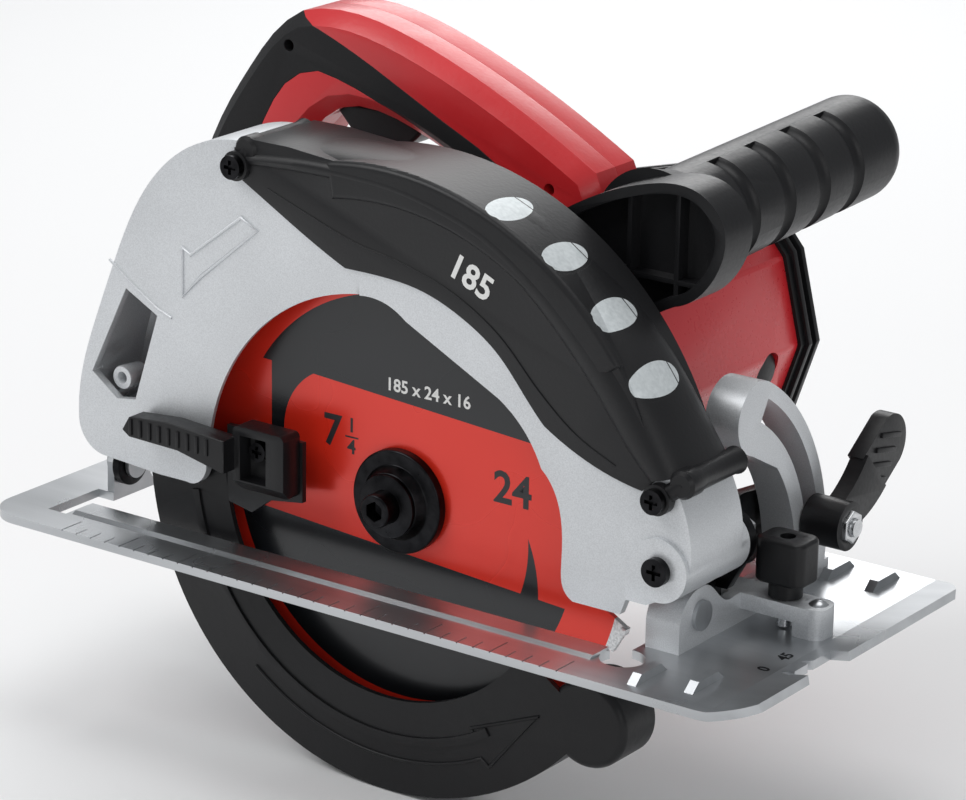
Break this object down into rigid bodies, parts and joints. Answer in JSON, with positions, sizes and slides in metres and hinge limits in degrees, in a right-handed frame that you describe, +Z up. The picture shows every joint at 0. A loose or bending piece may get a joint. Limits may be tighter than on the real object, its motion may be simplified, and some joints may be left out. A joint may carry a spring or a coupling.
{
  "type": "circular saw",
  "caption": "Hand-held circular saw with tilting sole plate, swing-down lower guard, rear loop handle and front grip.",
  "frame": {"origin": "on the sole under the arbor, in the outer face of the blade, with the sole set square and the cut at full depth", "axes": "+X forward along the cut, +Y from the blade towards the motor, +Z up"},
  "size_m": [0.306, 0.213, 0.2455],
  "materials": {
    "zinc_steel": "zinc-plated pressed sheet, satin",
    "bare_steel": "ground or turned steel",
    "blade_steel": "brushed disc with printed bands",
    "black_steel": "black oxide or black paint, satin",
    "silver_cast": "speckled silver hammer paint on an aluminium casting",
    "black_cast": "matte black paint on a casting",
    "red_plastic": "moulded, lightly textured",
    "black_plastic": "moulded, fine texture",
    "black_grip": "soft overmoulding",
    "copper": "enamelled copper",
    "laminate": "stacked laminations",
    "carbon": "pressed carbon"
  },
  "bodies": {
    "base": {"base_plate": "zinc_steel", "front_bevel_bracket": "silver_cast", "bevel_pivot_pins": "zinc_steel", "bracket_rivets": "zinc_steel"},
    "fence_clamp": {"fence_clamp_screw": "bare_steel", "fence_clamp_knob": "black_plastic"},
    "tilt_frame": {"tilt_bracket": "black_steel", "depth_quadrant": "black_steel", "bevel_bolt": "bare_steel"},
    "bevel_lock": {"bevel_lever": "black_plastic", "bevel_nut": "bare_steel"},
    "saw": {"upper_guard_outer": "silver_cast", "upper_guard_inner": "silver_cast", "guard_trim": "black_plastic", "trim_screws": "black_steel", "guard_screws": "bare_steel", "depth_pivot_screw": "black_steel", "depth_pivot_nut": "bare_steel", "gear_case": "silver_cast", "case_screws": "bare_steel", "spindle_bearings": "bare_steel", "motor_housing": "red_plastic", "tail_cover": "black_plastic", "tail_screws": "bare_steel", "stator": "laminate", "field_coils": "copper", "armature_bearings": "bare_steel", "brush_holders": "copper", "carbon_brushes": "carbon", "brush_caps": "black_plastic", "handle_shell_left": "red_plastic", "handle_shell_right": "red_plastic", "handle_overlay_left": "black_grip", "handle_overlay_right": "black_grip", "handle_screws": "bare_steel", "cord_inlet": "black_plastic", "switch_body": "black_plastic", "aux_handle": "black_plastic", "aux_handle_cover": "black_plastic", "depth_bolt": "bare_steel", "retaining_ring": "bare_steel", "return_spring": "bare_steel"},
    "depth_lock": {"depth_lever": "black_plastic", "depth_nut": "bare_steel"},
    "lower_guard": {"lower_guard": "black_cast", "lower_guard_lever": "black_plastic", "lever_screw": "black_steel"},
    "blade_spindle": {"spindle": "bare_steel", "inner_flange": "bare_steel", "outer_flange": "black_steel", "blade_bolt": "black_steel", "blade": "blade_steel", "spindle_gear": "bare_steel"},
    "armature": {"armature_core": "laminate", "armature_shaft": "bare_steel", "pinion": "bare_steel", "commutator": "copper", "fan": "black_plastic"},
    "trigger": {"trigger": "black_plastic"},
    "spindle_lock": {"spindle_lock_button": "black_plastic"}
  },
  "joints": [
    {"name": "bevel_tilt", "type": "hinge", "parent": "base", "child": "tilt_frame", "pos_m": [0.106, 0.007, 0.013], "axis": [1, 0, 0], "range_deg": [0, 45]},
    {"name": "depth_swing", "type": "hinge", "parent": "tilt_frame", "child": "saw", "pos_m": [0.11, 0.024, 0.034], "axis": [0, 1, 0], "range_deg": [0, 35]},
    {"name": "bevel_lever_turn", "type": "hinge", "parent": "tilt_frame", "child": "bevel_lock", "pos_m": [0.118, 0.07363, 0.02656], "axis": [1, 0, 0], "range_deg": [0, 75]},
    {"name": "depth_lever_turn", "type": "hinge", "parent": "saw", "child": "depth_lock", "pos_m": [-0.05469, 0.032, 0.02393], "axis": [0, 1, 0], "range_deg": [0, 50]},
    {"name": "fence_knob_turn", "type": "hinge", "parent": "base", "child": "fence_clamp", "pos_m": [0.125, 0.037, 0.02], "axis": [0, 0, 1], "range_deg": [0, 360]},
    {"name": "lower_guard_retract", "type": "hinge", "parent": "saw", "child": "lower_guard", "pos_m": [0, 0.008, 0.0285], "axis": [0, 1, 0], "range_deg": [0, 110], "stiffness_Nm_per_rad": 0.12, "springref_deg": -68.75},
    {"name": "blade_spin", "type": "hinge", "parent": "saw", "child": "blade_spindle", "pos_m": [0, 0, 0.0285], "axis": [0, 1, 0], "continuous": true},
    {"name": "armature_spin", "type": "hinge", "parent": "saw", "child": "armature", "pos_m": [0.01408, 0.025, 0.05499], "axis": [0, 1, 0], "continuous": true},
    {"name": "trigger_squeeze", "type": "slide", "parent": "saw", "child": "trigger", "axis": [0, 0, 1], "range_m": [0, 0.006], "stiffness_N_per_m": 400, "springref_m": -0.004},
    {"name": "spindle_lock_press", "type": "slide", "parent": "saw", "child": "spindle_lock", "axis": [-1, 0, 0], "range_m": [0, 0.004], "stiffness_N_per_m": 300, "springref_m": -0.003}
  ],
  "couplings": [
    {"joint": "armature_spin", "follows": "blade_spin", "ratio": -3.8}
  ]
}
